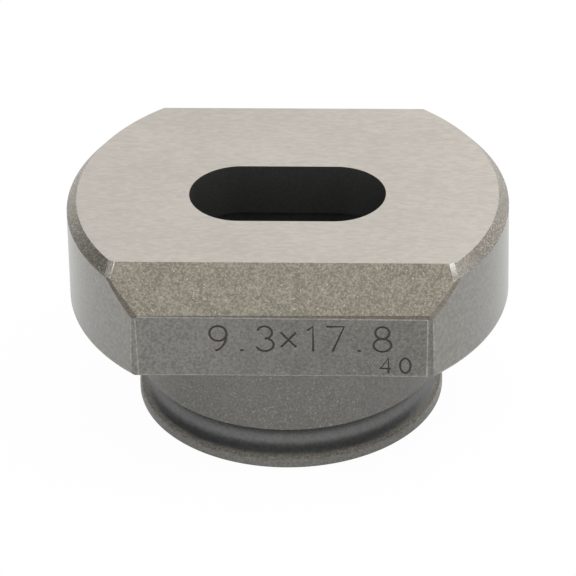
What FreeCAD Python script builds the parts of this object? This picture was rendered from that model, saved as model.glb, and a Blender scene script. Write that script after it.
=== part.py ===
import FreeCAD, Part

import enum
import math
import os

import Sketcher

# Punching die for an oblong hole, turned, milled and ground from one bar of tool steel.
# Frame: origin at the centre of the foot's underside, +Z up through the die hole,
# -Y towards the flat with the slope above it. Lengths are in millimetres.

DIE = "punch_die"
FULL_TURN = 360.0
NEAR = 0.01

# Each entry is a driving size: its name in the sheet, its value and what it measures.
SIZES = [
    ("OverallHeight", 20.5, "foot underside to the ground top face"),
    ("HeadThickness", 9.85, "shoulder to the ground top face"),
    ("HeadDiameter", 40.0, "turned head before the flats"),
    ("SpigotDiameter", 27.9, "locating spigot, and its foot below the groove"),
    ("RimChamferWidth", 0.9, "radial width of the chamfer round the top"),
    ("RimChamferHeight", 1.0, "height of the chamfer round the top"),
    ("FootThickness", 0.8, "foot below the retaining groove"),
    ("GrooveWidth", 3.35, "mouth of the retaining groove"),
    ("GrooveDepth", 1.2, "retaining groove at the middle of its arc"),
    ("FrontFlatDistance", 15.0, "die axis to the front flat"),
    ("BackFlatDistance", 15.0, "die axis to the back flat"),
    ("SlopeRun", 3.5, "how far the slope reaches back from the front flat"),
    ("SlopeDrop", 3.5, "how far the slope falls below the top face"),
    ("HoleWidth", 9.3, "oblong die hole across its straight sides"),
    ("HoleCentres", 8.5, "distance between the two round ends' centres"),
    ("LandDepth", 5.0, "straight wall of the die hole below the top face"),
    ("ReliefMargin", 0.5, "how much wider the slug relief is on each side"),
    ("FrontCornerBreak", 0.35, "ground corners beside the front flat"),
    ("BackCornerBreak", 0.7, "ground corners beside the back flat"),
    ("SlopeEdgeBreak", 0.25, "ground edges round the slope, but not at the top face"),
    ("FlatEdgeBreak", 0.15, "lower edges of both flats, and the back flat's upper edge"),
    ("TurnedEdgeBreak", 0.15, "turned edges of the shoulder and the foot"),
    ("ToolOverrun", 1.0, "how far a cutter's outline runs clear of the metal"),
]


class Of(enum.IntEnum):
    """How a sketch counts its own origin and axes, and the points of a line or an arc."""
    ORIGIN = -1
    H_AXIS = -1
    V_AXIS = -2
    START = 1
    END = 2
    CENTRE = 3


def make_sheet(doc):
    """The sheet of driving sizes, one alias for each."""
    sheet = doc.addObject("Spreadsheet::Sheet", "Sizes")
    for row, (alias, value, meaning) in enumerate(SIZES, start=1):
        sheet.set("A%d" % row, alias)
        sheet.set("B%d" % row, "%s" % value)
        sheet.set("C%d" % row, meaning)
        sheet.setAlias("B%d" % row, alias)
    doc.recompute()
    return sheet


def origin_feature(body, role):
    """One of the body's own origin planes or axes."""
    for feature in body.Origin.OriginFeatures:
        if feature.Role == role:
            return feature
    raise RuntimeError("the body has no origin feature %s" % role)


def add_sketch(body, name, role, height=None):
    """A sketch on one of the body's origin planes, lifted along its normal by an expression."""
    sketch = body.newObject("Sketcher::SketchObject", name)
    sketch.AttachmentSupport = [(origin_feature(body, role), "")]
    sketch.MapMode = "FlatFace"
    if height:
        sketch.setExpression("AttachmentOffset.Base.z", height)
    return sketch


def point_of(sketch, corner):
    """The point that a corner's two expressions give with the present sizes."""
    across, up = (float(sketch.evalExpression(expression)) for expression in corner)
    return FreeCAD.Vector(across, up, 0)


def drive(sketch, expression, kind, *references):
    """A dimension that follows an expression, drawn at its present value from the start."""
    present = float(sketch.evalExpression(expression))
    added = sketch.addConstraint(Sketcher.Constraint(kind, *references, present))
    sketch.setExpression("Constraints[%d]" % added, expression)


def add_path(sketch, corners):
    """Straight lines from corner to corner. Each corner is a pair of expressions, across and up.

    A corner that shares an expression with the one before it is held level or upright with it,
    and gets a dimension only for the other direction.
    """
    points = [point_of(sketch, corner) for corner in corners]
    lines = []
    for here, there in zip(points, points[1:]):
        lines.append(sketch.addGeometry(Part.LineSegment(here, there)))
    for line, following in zip(lines, lines[1:]):
        sketch.addConstraint(Sketcher.Constraint("Coincident", line, Of.END, following, Of.START))
    for line, here, there in zip(lines, corners, corners[1:]):
        if here[0] == there[0]:
            sketch.addConstraint(Sketcher.Constraint("Vertical", line))
        if here[1] == there[1]:
            sketch.addConstraint(Sketcher.Constraint("Horizontal", line))
    return lines


def place_corner(sketch, line, position, corner, directions):
    """Dimensions for one end of a line, from the sketch's origin, in the directions that are given."""
    for direction, expression, kind, axis in (
        ("across", corner[0], "DistanceX", Of.V_AXIS),
        ("up", corner[1], "DistanceY", Of.H_AXIS),
    ):
        if direction not in directions:
            continue
        if expression == "0":
            sketch.addConstraint(Sketcher.Constraint("PointOnObject", line, position, axis))
        else:
            drive(sketch, expression, kind, Of.ORIGIN, Of.START, line, position)


def free_directions(corner, previous):
    """The directions in which a corner isn't held by the one before it."""
    directions = []
    if corner[0] != previous[0]:
        directions.append("across")
    if corner[1] != previous[1]:
        directions.append("up")
    return directions


def add_outline(sketch, corners):
    """A closed outline of straight lines through the corners."""
    lines = add_path(sketch, corners + corners[:1])
    sketch.addConstraint(Sketcher.Constraint("Coincident", lines[-1], Of.END, lines[0], Of.START))
    for line, corner, previous in zip(lines, corners, corners[-1:] + corners[:-1]):
        place_corner(sketch, line, Of.START, corner, free_directions(corner, previous))
    return lines


def turn_blank(body):
    """The turned blank: head with its rim chamfer, shoulder, spigot and foot in one revolved profile."""
    sketch = add_sketch(body, "BlankProfile", "XZ_Plane")
    spigot = "Sizes.SpigotDiameter / 2"
    head = "Sizes.HeadDiameter / 2"
    shoulder = "Sizes.OverallHeight - Sizes.HeadThickness"
    top = "Sizes.OverallHeight"
    add_outline(sketch, [
        ("0", "0"),
        (spigot + " - Sizes.TurnedEdgeBreak", "0"),
        (spigot, "Sizes.TurnedEdgeBreak"),
        (spigot, shoulder),
        (head + " - Sizes.TurnedEdgeBreak", shoulder),
        (head, shoulder + " + Sizes.TurnedEdgeBreak"),
        (head, top + " - Sizes.RimChamferHeight"),
        (head + " - Sizes.RimChamferWidth", top),
        ("0", top),
    ])
    blank = body.newObject("PartDesign::Revolution", "Blank")
    blank.Profile = sketch
    blank.ReferenceAxis = (sketch, ["V_Axis"])
    blank.Angle = FULL_TURN
    return blank


def turn_retaining_groove(body):
    """The groove above the foot: an arc across its mouth, as a round-nosed tool leaves it."""
    sketch = add_sketch(body, "GrooveProfile", "XZ_Plane")
    spigot = "Sizes.SpigotDiameter / 2"
    clear = spigot + " + Sizes.ToolOverrun"
    low = "Sizes.FootThickness"
    high = "Sizes.FootThickness + Sizes.GrooveWidth"
    corners = [(spigot, low), (clear, low), (clear, high), (spigot, high)]
    lines = add_path(sketch, corners)
    place_corner(sketch, lines[0], Of.START, corners[0], ["across", "up"])
    place_corner(sketch, lines[1], Of.START, corners[1], ["across"])
    place_corner(sketch, lines[2], Of.START, corners[2], ["up"])
    place_corner(sketch, lines[2], Of.END, corners[3], ["across"])
    deepest = point_of(sketch, (spigot + " - Sizes.GrooveDepth", low + " + Sizes.GrooveWidth / 2"))
    arc = sketch.addGeometry(Part.Arc(point_of(sketch, corners[3]), deepest, point_of(sketch, corners[0])))
    arc_start = sketch.getPoint(arc, Of.START)
    first, last = (lines[2], Of.END), (lines[0], Of.START)
    if arc_start.y < deepest.y:
        first, last = last, first
    sketch.addConstraint(Sketcher.Constraint("Coincident", arc, Of.START, *first))
    sketch.addConstraint(Sketcher.Constraint("Coincident", arc, Of.END, *last))
    drive(
        sketch,
        "(Sizes.GrooveWidth ^ 2 / 4 + Sizes.GrooveDepth ^ 2) / (2 * Sizes.GrooveDepth)",
        "Radius",
        arc,
    )
    groove = body.newObject("PartDesign::Groove", "RetainingGroove")
    groove.Profile = sketch
    groove.ReferenceAxis = (sketch, ["V_Axis"])
    groove.Angle = FULL_TURN
    return groove


def mill_flats(body):
    """The two flats, milled from the top face right down past the foot, outside the narrower spigot."""
    sketch = add_sketch(body, "FlatsOutline", "XY_Plane", "Sizes.OverallHeight")
    clear = "Sizes.HeadDiameter / 2 + Sizes.ToolOverrun"
    left = "-(%s)" % clear
    front = "-Sizes.FrontFlatDistance"
    back = "Sizes.BackFlatDistance"
    add_outline(sketch, [(left, front), (left, left), (clear, left), (clear, front)])
    add_outline(sketch, [(left, back), (clear, back), (clear, clear), (left, clear)])
    flats = body.newObject("PartDesign::Pocket", "Flats")
    flats.Profile = sketch
    flats.Type = "ThroughAll"
    return flats


def mill_slope(body):
    """The steep slope above the front flat, cut right across the head."""
    sketch = add_sketch(body, "SlopeProfile", "YZ_Plane")
    face = "-Sizes.FrontFlatDistance"
    back = "Sizes.SlopeRun - Sizes.FrontFlatDistance"
    clear = "-Sizes.FrontFlatDistance - Sizes.ToolOverrun"
    foot = "Sizes.OverallHeight - Sizes.SlopeDrop"
    top = "Sizes.OverallHeight"
    above = "Sizes.OverallHeight + Sizes.ToolOverrun"
    add_outline(sketch, [(face, foot), (back, top), (back, above), (clear, above), (clear, foot)])
    cut = body.newObject("PartDesign::Pocket", "Slope")
    cut.Profile = sketch
    cut.Type = "Length"
    cut.SideType = "Symmetric"
    cut.setExpression("Length", "Sizes.HeadDiameter + 2 * Sizes.ToolOverrun")
    return cut


def add_oblong(sketch, width, centres):
    """An oblong along X about the origin, with full round ends; width and centres are expressions."""
    half = float(sketch.evalExpression(centres)) / 2
    radius = float(sketch.evalExpression(width)) / 2
    quarter = math.pi / 2
    normal = FreeCAD.Vector(0, 0, 1)
    right_circle = Part.Circle(FreeCAD.Vector(half, 0, 0), normal, radius)
    left_circle = Part.Circle(FreeCAD.Vector(-half, 0, 0), normal, radius)
    right_end, back_side, left_end, front_side = sketch.addGeometry([
        Part.ArcOfCircle(right_circle, -quarter, quarter),
        Part.LineSegment(FreeCAD.Vector(half, radius, 0), FreeCAD.Vector(-half, radius, 0)),
        Part.ArcOfCircle(left_circle, quarter, 3 * quarter),
        Part.LineSegment(FreeCAD.Vector(-half, -radius, 0), FreeCAD.Vector(half, -radius, 0)),
    ])
    sides = [right_end, back_side, left_end, front_side]
    for side, following in zip(sides, sides[1:] + sides[:1]):
        sketch.addConstraint(Sketcher.Constraint("Tangent", side, Of.END, following, Of.START))
    sketch.addConstraint(Sketcher.Constraint("Horizontal", back_side))
    sketch.addConstraint(Sketcher.Constraint("Equal", right_end, left_end))
    centre_points = (left_end, Of.CENTRE, right_end, Of.CENTRE)
    sketch.addConstraint(Sketcher.Constraint("Symmetric", *centre_points, Of.ORIGIN, Of.START))
    drive(sketch, "(%s) / 2" % width, "Radius", right_end)
    drive(sketch, centres, "DistanceX", *centre_points)


def cut_die_hole(body):
    """The oblong die hole, with a sharp cutting edge at the top face, right through the die."""
    sketch = add_sketch(body, "HoleOutline", "XY_Plane", "Sizes.OverallHeight")
    add_oblong(sketch, "Sizes.HoleWidth", "Sizes.HoleCentres")
    hole = body.newObject("PartDesign::Pocket", "DieHole")
    hole.Profile = sketch
    hole.Type = "ThroughAll"
    return hole


def cut_slug_relief(body):
    """The wider oblong below the land, so that punched slugs fall free."""
    sketch = add_sketch(body, "ReliefOutline", "XY_Plane")
    add_oblong(sketch, "Sizes.HoleWidth + 2 * Sizes.ReliefMargin", "Sizes.HoleCentres")
    relief = body.newObject("PartDesign::Pocket", "SlugRelief")
    relief.Profile = sketch
    relief.Type = "Length"
    relief.Reversed = True
    relief.setExpression("Length", "Sizes.OverallHeight - Sizes.LandDepth")
    return relief


def edges_where(shape, chosen):
    """The names of the edges whose two end points both pass the test."""
    names = []
    for number, edge in enumerate(shape.Edges, start=1):
        ends = [vertex.Point for vertex in edge.Vertexes]
        if len(ends) == 2 and chosen(*ends):
            names.append("Edge%d" % number)
    return names


def flat_corners(shape, distance):
    """The upright edges where the flat at this distance along Y meets the round head."""
    def chosen(one, other):
        on_flat = abs(one.y - distance) < NEAR and abs(other.y - distance) < NEAR
        return on_flat and abs(one.x - other.x) < NEAR and abs(one.z - other.z) > NEAR
    return edges_where(shape, chosen)


def flat_ends(shape, sheet):
    """The lower edges of both flats at the shoulder, and the back flat's upper edge."""
    front = -sheet.get("FrontFlatDistance")
    back = sheet.get("BackFlatDistance")
    top = sheet.get("OverallHeight")
    shoulder = top - sheet.get("HeadThickness")
    places = [(front, shoulder), (back, shoulder), (back, top)]

    def chosen(one, other):
        for distance, height in places:
            away = max(abs(point.y - distance) + abs(point.z - height) for point in (one, other))
            if away < NEAR:
                return True
        return False
    return edges_where(shape, chosen)


def slope_outline(shape, sheet):
    """The edges round the slope, apart from the crisp one at the ground top face."""
    top = sheet.get("OverallHeight")
    steepness = sheet.get("SlopeDrop") / sheet.get("SlopeRun")
    back_edge = sheet.get("SlopeRun") - sheet.get("FrontFlatDistance")

    def on_slope(point):
        before_edge = back_edge - point.y
        return before_edge > -NEAR and abs(top - point.z - steepness * before_edge) < NEAR

    def chosen(one, other):
        return on_slope(one) and on_slope(other) and min(one.z, other.z) < top - NEAR
    return edges_where(shape, chosen)


def break_edges(body, name, feature, edges, alias):
    """A small chamfer on the named edges of a feature."""
    if not edges:
        raise RuntimeError("%s finds no edge" % name)
    chamfer = body.newObject("PartDesign::Chamfer", name)
    chamfer.Base = (feature, edges)
    chamfer.setExpression("Size", "Sizes." + alias)
    return chamfer


def check(doc):
    """Stops the build if any object failed to compute."""
    for item in doc.Objects:
        if "Invalid" in item.State or "Error" in item.State:
            raise RuntimeError("%s failed: %s" % (item.Name, item.State))


def removed(doc, feature):
    """Recomputes, and stops the build if a cut took nothing off the solid."""
    doc.recompute()
    check(doc)
    before = feature.BaseFeature.Shape.Volume
    after = feature.Shape.Volume
    if after >= before:
        raise RuntimeError("%s cuts nothing" % feature.Name)
    return feature


def make_die(doc, sheet):
    """The whole die as one body, in the order in which it would be machined."""
    body = doc.addObject("PartDesign::Body", "PunchDie")
    body.Label = DIE
    turn_blank(body)
    doc.recompute()
    removed(doc, turn_retaining_groove(body))
    removed(doc, mill_flats(body))
    removed(doc, mill_slope(body))
    removed(doc, cut_die_hole(body))
    relief = removed(doc, cut_slug_relief(body))
    edges = flat_corners(relief.Shape, -sheet.get("FrontFlatDistance"))
    fronts = removed(doc, break_edges(body, "FrontCorners", relief, edges, "FrontCornerBreak"))
    edges = flat_corners(fronts.Shape, sheet.get("BackFlatDistance"))
    backs = removed(doc, break_edges(body, "BackCorners", fronts, edges, "BackCornerBreak"))
    edges = slope_outline(backs.Shape, sheet)
    slopes = removed(doc, break_edges(body, "SlopeEdges", backs, edges, "SlopeEdgeBreak"))
    edges = flat_ends(slopes.Shape, sheet)
    removed(doc, break_edges(body, "FlatEnds", slopes, edges, "FlatEdgeBreak"))
    return body


def main():
    doc = FreeCAD.newDocument("PunchDieModel")
    sheet = make_sheet(doc)
    body = make_die(doc, sheet)
    doc.recompute()
    check(doc)
    shape = body.Shape
    if shape.isNull() or not shape.isValid() or len(shape.Solids) != 1:
        raise RuntimeError("the die is not one valid solid")
    os.makedirs("parts", exist_ok=True)
    shape.exportStep(os.path.join("parts", body.Label + ".step"))
    box = shape.optimalBoundingBox(True, False)
    print("%s: %.3f x %.3f x %.3f mm, %.1f cubic mm" % (
        body.Label, box.XLength, box.YLength, box.ZLength, shape.Volume))


main()
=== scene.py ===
"""A punching die for an oblong hole, in its finishes, on a plain white studio floor.

The die is one piece of tool steel: a turned head and spigot with a retaining groove, two milled
flats, a blasted slope above the front flat and an oblong hole through the ground top face. The
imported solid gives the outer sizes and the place. This file makes the same form again with its
fine edges, and gives each machined surface a finish of its own. Lengths are in metres.
"""

import logging
import math
from dataclasses import dataclass
from enum import Enum

import bmesh
import bpy
from mathutils import Matrix, Vector


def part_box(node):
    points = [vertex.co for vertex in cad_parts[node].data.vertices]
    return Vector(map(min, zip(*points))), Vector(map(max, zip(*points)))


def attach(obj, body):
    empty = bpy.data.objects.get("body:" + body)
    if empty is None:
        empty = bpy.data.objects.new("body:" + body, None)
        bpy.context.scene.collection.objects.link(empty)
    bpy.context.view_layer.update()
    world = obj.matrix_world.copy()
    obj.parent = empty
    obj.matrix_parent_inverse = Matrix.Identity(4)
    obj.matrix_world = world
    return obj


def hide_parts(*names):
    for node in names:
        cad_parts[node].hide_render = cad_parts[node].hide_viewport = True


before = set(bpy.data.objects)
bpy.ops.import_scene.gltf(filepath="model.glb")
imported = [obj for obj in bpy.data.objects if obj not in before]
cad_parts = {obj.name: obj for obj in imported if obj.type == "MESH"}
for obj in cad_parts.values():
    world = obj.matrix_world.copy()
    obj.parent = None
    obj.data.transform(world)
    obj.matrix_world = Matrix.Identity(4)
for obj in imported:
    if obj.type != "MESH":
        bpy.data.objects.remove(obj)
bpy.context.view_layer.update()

MM = 0.001
DIE_NODE = "punch_die"
DIE_BODY = "root"
TINY = 0.002 * MM
WHOLE_TURN = 360.0
UP = Vector((0.0, 0.0, 1.0))

# A screen's white, and the curve from its values to light.
SCREEN_WHITE = 255
SCREEN_OFFSET = 0.055
SCREEN_POWER = 2.4

# The middle of a noise's range, the detail of a cloudy noise and the roughness of a gritty one.
NOISE_MIDDLE = 0.5
CLOUDY = 1.0
GRITTY = 0.6

# How much of its metallic look the steel loses where a painted glint or painted light is at its
# palest.
PALE_METAL_LOSS = 0.6

log = logging.getLogger("punch_die")

Colour = tuple[float, float, float]
Look = dict[str, object]
Point2 = tuple[float, float]
Point3 = tuple[float, float, float]

WHITE: Colour = (1.0, 1.0, 1.0)


def screen_colour(red: int, green: int, blue: int) -> Colour:
    """Turns a colour as a screen shows it into the linear values that a shader takes.

    Args:
        red: red from 0 to 255.
        green: green from 0 to 255.
        blue: blue from 0 to 255.

    Returns:
        The linear red, green and blue.
    """
    return tuple(
        ((part / SCREEN_WHITE + SCREEN_OFFSET) / (1 + SCREEN_OFFSET)) ** SCREEN_POWER
        for part in (red, green, blue)
    )


class Value:
    """A node's output that takes part in plain arithmetic, each step of which adds a Math node."""

    def __init__(self, graph: "Graph", socket: bpy.types.NodeSocket) -> None:
        """Wraps one output socket of the graph."""
        self.graph = graph
        self.socket = socket

    def __add__(self, other: "Value | float") -> "Value":
        """The sum."""
        return self.graph.math("ADD", self, other)

    __radd__ = __add__

    def __sub__(self, other: "Value | float") -> "Value":
        """The difference."""
        return self.graph.math("SUBTRACT", self, other)

    def __rsub__(self, other: "Value | float") -> "Value":
        """The difference from a number in front."""
        return self.graph.math("SUBTRACT", other, self)

    def __mul__(self, other: "Value | float") -> "Value":
        """The product."""
        return self.graph.math("MULTIPLY", self, other)

    __rmul__ = __mul__

    def __gt__(self, other: "Value | float") -> "Value":
        """1 where this value is the greater, and 0 elsewhere."""
        return self.graph.math("GREATER_THAN", self, other)


class Graph:
    """One node tree under construction, for a finish, the world or Geometry Nodes."""

    def __init__(self, tree: bpy.types.NodeTree) -> None:
        """Starts on a tree, which is emptied first."""
        self.tree = tree
        tree.nodes.clear()

    def node(
        self,
        kind: str,
        settings: dict[str, object] | None = None,
        inputs: dict[str | int, object] | None = None,
    ) -> bpy.types.Node:
        """Adds one node.

        Args:
            kind: the node's type.
            settings: its own settings, set before its inputs.
            inputs: a plain value, a Value or a socket for each input, by its name or number.

        Returns:
            The new node.
        """
        made = self.tree.nodes.new(kind)
        for name, setting in (settings or {}).items():
            setattr(made, name, setting)
        for name, given in (inputs or {}).items():
            self.join(given, made.inputs[name])
        return made

    def join(self, given: object, socket: bpy.types.NodeSocket) -> None:
        """Links an input to a Value or a socket, or else sets it to a plain value.

        Args:
            given: the Value, the socket or the plain value, which is a Colour for a colour input.
            socket: the input.
        """
        if isinstance(given, Value):
            given = given.socket
        if isinstance(given, bpy.types.NodeSocket):
            self.tree.links.new(given, socket)
        elif socket.type == "RGBA":
            socket.default_value = (*given, 1.0)
        else:
            socket.default_value = given

    def math(self, operation: str, one: object, other: object) -> Value:
        """Adds a Math node and returns its result."""
        made = self.node("ShaderNodeMath", {"operation": operation}, {0: one, 1: other})
        return Value(self, made.outputs[0])

    def stretch(self, given: Value, low: float, high: float) -> Value:
        """Brings a value from the range between low and high to 0 and 1, smoothly and within them."""
        made = self.node(
            "ShaderNodeMapRange",
            {"interpolation_type": "SMOOTHSTEP"},
            {"Value": given, "From Min": low, "From Max": high},
        )
        return Value(self, made.outputs["Result"])

    def place(self, grain: Point3, angle: float = 0.0) -> bpy.types.NodeSocket:
        """Object coordinates counted in grains.

        Args:
            grain: the length of one grain along X, Y and Z.
            angle: how far the grain is turned about Z, in radians.

        Returns:
            The coordinates' socket.
        """
        source = self.node("ShaderNodeTexCoord")
        mapped = self.node(
            "ShaderNodeMapping",
            {"vector_type": "POINT"},
            {
                "Vector": source.outputs["Object"],
                "Rotation": (0.0, 0.0, angle),
                "Scale": tuple(1 / length for length in grain),
            },
        )
        return mapped.outputs["Vector"]

    def noise(
        self, where: bpy.types.NodeSocket, detail: float = 2.0, roughness: float = 0.5
    ) -> Value:
        """Noise about 0.5, one lump for each grain of the coordinates."""
        made = self.node(
            "ShaderNodeTexNoise",
            inputs={"Vector": where, "Scale": 1.0, "Detail": detail, "Roughness": roughness},
        )
        return Value(self, made.outputs["Fac"])

    def blend(self, share: Value | float, one: object, other: object) -> bpy.types.NodeSocket:
        """Mixes two colours, each a Colour or a socket, by the second one's share."""
        made = self.node("ShaderNodeMix", {"data_type": "RGBA"}, {"Factor": share})
        colour_inputs = [socket for socket in made.inputs if socket.type == "RGBA"]
        for given, socket in zip((one, other), colour_inputs):
            self.join(given, socket)
        return [socket for socket in made.outputs if socket.type == "RGBA"][0]


def new_material(name: str) -> tuple[bpy.types.Material, Graph]:
    """A new material and the graph of its emptied node tree."""
    made = bpy.data.materials.new(name)
    made.use_nodes = True
    return made, Graph(made.node_tree)


@dataclass(frozen=True)
class Finish:
    """A plain finish of the steel, and the base of the others.

    Each finish varies between a dark and a light tone from grain to grain.
    """

    name: str
    dark: Colour
    light: Colour
    metallic: float = 1.0
    roughness: float = 0.4
    roughness_spread: float = 0.12
    grain: float = 0.2 * MM
    contrast: float = 0.16
    relief: float = 0.004 * MM

    def material(self) -> bpy.types.Material:
        """Makes the material with its nodes."""
        made, graph = new_material(self.name)
        look, height = self.pattern(graph)
        bump = graph.node(
            "ShaderNodeBump", inputs={"Strength": 1.0, "Distance": self.relief, "Height": height}
        )
        shader = graph.node(
            "ShaderNodeBsdfPrincipled",
            inputs={"Metallic": self.metallic, **look, "Normal": bump.outputs["Normal"]},
        )
        graph.node("ShaderNodeOutputMaterial", inputs={"Surface": shader.outputs["BSDF"]})
        return made

    def tone(self, graph: Graph, grains: Value) -> Value:
        """How light each grain is, from 0 to 1."""
        return graph.stretch(grains, NOISE_MIDDLE - self.contrast, NOISE_MIDDLE + self.contrast)

    def plain_look(self, graph: Graph, tones: Value, height: Value) -> Look:
        """The inputs for a colour that follows the tones and a roughness that follows the height."""
        return {
            "Base Color": graph.blend(self.tone(graph, tones), self.dark, self.light),
            "Roughness": self.roughness + self.roughness_spread * (height - NOISE_MIDDLE),
        }

    def pattern(self, graph: Graph) -> tuple[Look, Value]:
        """The shader's inputs and the height over the surface."""
        fine = graph.noise(graph.place((self.grain,) * 3))
        return self.plain_look(graph, fine, fine), fine


@dataclass(frozen=True)
class GroundFinish(Finish):
    """A surface-ground face, with fine wavy lines along X and faint clouds."""

    roughness_spread: float = 0.05
    line_size: Point3 = (0.8 * MM, 0.26 * MM, 1.0 * MM)
    line_detail: float = 3.0
    cloud_size: float = 6.0 * MM
    cloud_share: float = 0.2

    def pattern(self, graph: Graph) -> tuple[Look, Value]:
        """The shader's inputs and the height over the surface."""
        lines = graph.noise(graph.place(self.line_size), self.line_detail, GRITTY)
        clouds = graph.noise(graph.place((self.cloud_size,) * 3), CLOUDY)
        mixed = (1 - self.cloud_share) * lines + self.cloud_share * clouds
        return self.plain_look(graph, mixed, lines), lines


@dataclass(frozen=True)
class BlastedFinish(Finish):
    """A grit-blasted face: lumpy, with painted glints, pale specks in its colour that stand in for
    highlights.

    The patches and the sparks are sized in grains, and the sparks' turn is in radians.
    """

    painted_glint: Colour = (0.6, 0.56, 0.45)
    glint_level: float = 0.64
    glint_edge: float = 0.08
    glint_gloss: float = 0.1
    patch_size: float = 6.0
    patch_share: float = 0.2
    spark_size: float = 0.8
    spark_turn: float = 0.7

    def pattern(self, graph: Graph) -> tuple[Look, Value]:
        """The shader's inputs and the height over the surface."""
        grains = graph.noise(graph.place((self.grain,) * 3), roughness=GRITTY)
        patches = graph.noise(graph.place((self.grain * self.patch_size,) * 3))
        mixed = (1 - self.patch_share) * grains + self.patch_share * patches
        dull = graph.blend(self.tone(graph, mixed), self.dark, self.light)
        where = graph.place((self.grain * self.spark_size,) * 3, self.spark_turn)
        sparks = graph.noise(where, CLOUDY)
        # Painted highlights: pale specks wherever the sparks' noise is high, whichever way the grain
        # faces.
        painted_glints = graph.stretch(sparks, self.glint_level, self.glint_level + self.glint_edge)
        return {
            "Base Color": graph.blend(painted_glints, dull, self.painted_glint),
            "Roughness": self.roughness - self.glint_gloss * painted_glints,
            "Metallic": self.metallic - PALE_METAL_LOSS * self.metallic * painted_glints,
        }, grains


@dataclass(frozen=True)
class PaintedLightFinish(BlastedFinish):
    """A blasted face painted paler about one place, or also about its mirror images: painted light.

    The painted light ends at the far distance and is full within the near one. The lowest grains take
    the least of it, and the proud ones take more.
    """

    painted_light: Colour = (0.4, 0.38, 0.35)
    place: Point3 = (0.0, 0.0, 0.0)
    mirrored: bool = False
    near: float = 1.0 * MM
    far: float = 4.0 * MM
    most: float = 0.7
    least: float = 0.5
    more: float = 0.9
    proud_contrast: float = 0.12

    def pattern(self, graph: Graph) -> tuple[Look, Value]:
        """The shader's inputs and the height over the surface."""
        look, grains = super().pattern(graph)
        here = graph.node("ShaderNodeTexCoord").outputs["Object"]
        if self.mirrored:
            here = graph.node("ShaderNodeVectorMath", {"operation": "ABSOLUTE"}, {0: here}).outputs[0]
        apart = graph.node(
            "ShaderNodeVectorMath", {"operation": "DISTANCE"}, {0: here, 1: self.place}
        )
        distance = Value(graph, apart.outputs["Value"]) + self.far * (grains - NOISE_MIDDLE)
        low, high = NOISE_MIDDLE - self.proud_contrast, NOISE_MIDDLE + self.proud_contrast
        taken = self.least + self.more * graph.stretch(grains, low, high)
        share = self.most * taken * graph.stretch(distance, self.far, self.near)
        return {
            **look,
            # Painted light: the colour turns towards the paler painted colour near the place.
            "Base Color": graph.blend(share, look["Base Color"], self.painted_light),
            "Metallic": look["Metallic"] - PALE_METAL_LOSS * share * look["Metallic"],
        }, grains


@dataclass(frozen=True)
class SoiledFinish(Finish):
    """A smooth finish with a speckled deposit that thickens towards its foot."""

    soil_dark: Colour = (0.15, 0.13, 0.1)
    soil_light: Colour = (0.3, 0.27, 0.22)
    soil_foot: float = 0.7 * MM
    soil_head: float = 1.35 * MM
    soil_grain: float = 0.16 * MM
    soil_patch: float = 2.0 * MM
    soil_raggedness: float = 0.4
    soil_hardness: float = 0.1
    soil_roughness: float = 0.6

    def pattern(self, graph: Graph) -> tuple[Look, Value]:
        """The shader's inputs and the height over the surface."""
        look, fine = super().pattern(graph)
        source = graph.node("ShaderNodeTexCoord")
        apart = graph.node("ShaderNodeSeparateXYZ", inputs={"Vector": source.outputs["Object"]})
        level = Value(graph, apart.outputs["Z"])
        specks = graph.noise(graph.place((self.soil_grain,) * 3), roughness=GRITTY)
        patches = graph.noise(graph.place((self.soil_patch,) * 3), CLOUDY)
        ragged = self.soil_raggedness * (specks + patches - 2 * NOISE_MIDDLE)
        depth = graph.stretch(level, self.soil_head, self.soil_foot) + ragged
        share = graph.stretch(depth, self.soil_hardness, 1 - self.soil_hardness)
        soil = graph.blend(self.tone(graph, specks), self.soil_dark, self.soil_light)
        bare = look["Roughness"]
        return {
            "Base Color": graph.blend(share, look["Base Color"], soil),
            "Roughness": bare + share * (self.soil_roughness - bare),
            "Metallic": self.metallic - self.metallic * share,
        }, fine


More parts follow.
